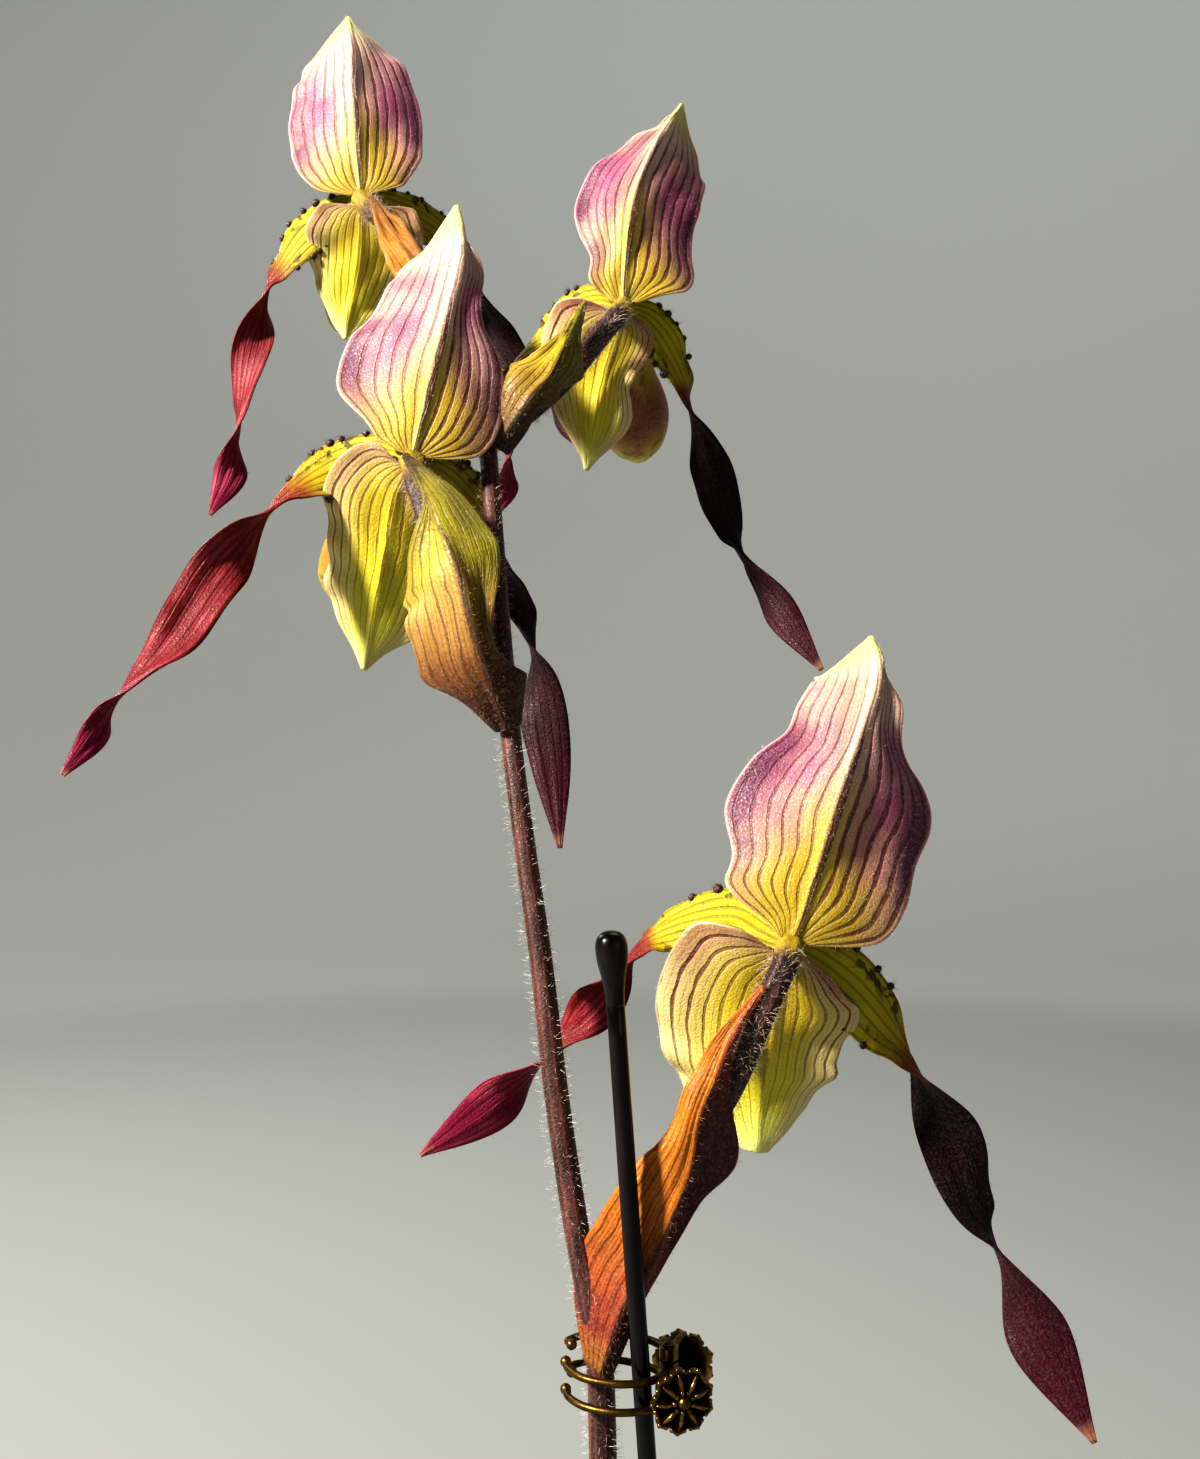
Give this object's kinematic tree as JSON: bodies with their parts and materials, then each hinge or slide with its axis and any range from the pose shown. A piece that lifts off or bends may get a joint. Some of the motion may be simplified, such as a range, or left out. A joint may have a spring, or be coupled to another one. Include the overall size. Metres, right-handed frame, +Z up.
{
  "type": "potted slipper orchid",
  "caption": "A potted slipper orchid: strap leaves, a hairy scape that carries long-petalled blooms seen from behind, and a ball-topped stake held to it by a claw clip.",
  "frame": {"origin": "centre of the pot's flat base, on the surface that the pot stands on", "axes": "+Z up along the pot's axis, +Y the way the blooms face, +X to the right as seen from behind the blooms"},
  "size_m": [0.4078, 0.2807, 0.5786],
  "materials": {
    "pot": "satin",
    "bark": "matte",
    "crown": "satin",
    "leaf": "satin",
    "scape": "matte",
    "ovary": "matte",
    "bract": "satin",
    "dorsal": "satin",
    "synsepal": "satin",
    "petal": "satin",
    "pouch": "satin",
    "column": "satin",
    "stake": "gloss",
    "bronze": "satin"
  },
  "bodies": {
    "plant": {"pot": "pot", "bark": "bark", "crown": "crown", "leaf_1": "leaf", "leaf_2": "leaf", "leaf_3": "leaf", "leaf_4": "leaf", "leaf_5": "leaf", "leaf_6": "leaf", "scape": "scape", "ovary_a": "ovary", "bract_a": "bract", "dorsal_sepal_a": "dorsal", "synsepal_a": "synsepal", "petal_left_a": "petal", "petal_right_a": "petal", "pouch_a": "pouch", "column_a": "column", "ovary_b": "ovary", "bract_b": "bract", "dorsal_sepal_b": "dorsal", "synsepal_b": "synsepal", "petal_left_b": "petal", "petal_right_b": "petal", "pouch_b": "pouch", "column_b": "column", "ovary_c": "ovary", "bract_c": "bract", "dorsal_sepal_c": "dorsal", "synsepal_c": "synsepal", "petal_left_c": "petal", "petal_right_c": "petal", "pouch_c": "pouch", "column_c": "column", "ovary_d": "ovary", "bract_d": "bract", "dorsal_sepal_d": "dorsal", "synsepal_d": "synsepal", "petal_left_d": "petal", "petal_right_d": "petal", "pouch_d": "pouch", "column_d": "column", "stake": "stake", "stake_ball": "stake", "clip_far_half": "bronze", "clip_pin": "bronze", "clip_spring": "bronze"},
    "clip_jaw": {"clip_near_half": "bronze"}
  },
  "joints": [
    {"name": "clip_hinge", "type": "hinge", "parent": "plant", "child": "clip_jaw", "pos_m": [0.012, 0.0034, 0.287], "axis": [0, 0, 1], "range_deg": [0, 32], "stiffness_Nm_per_rad": 0.012, "springref_deg": -22.92}
  ]
}
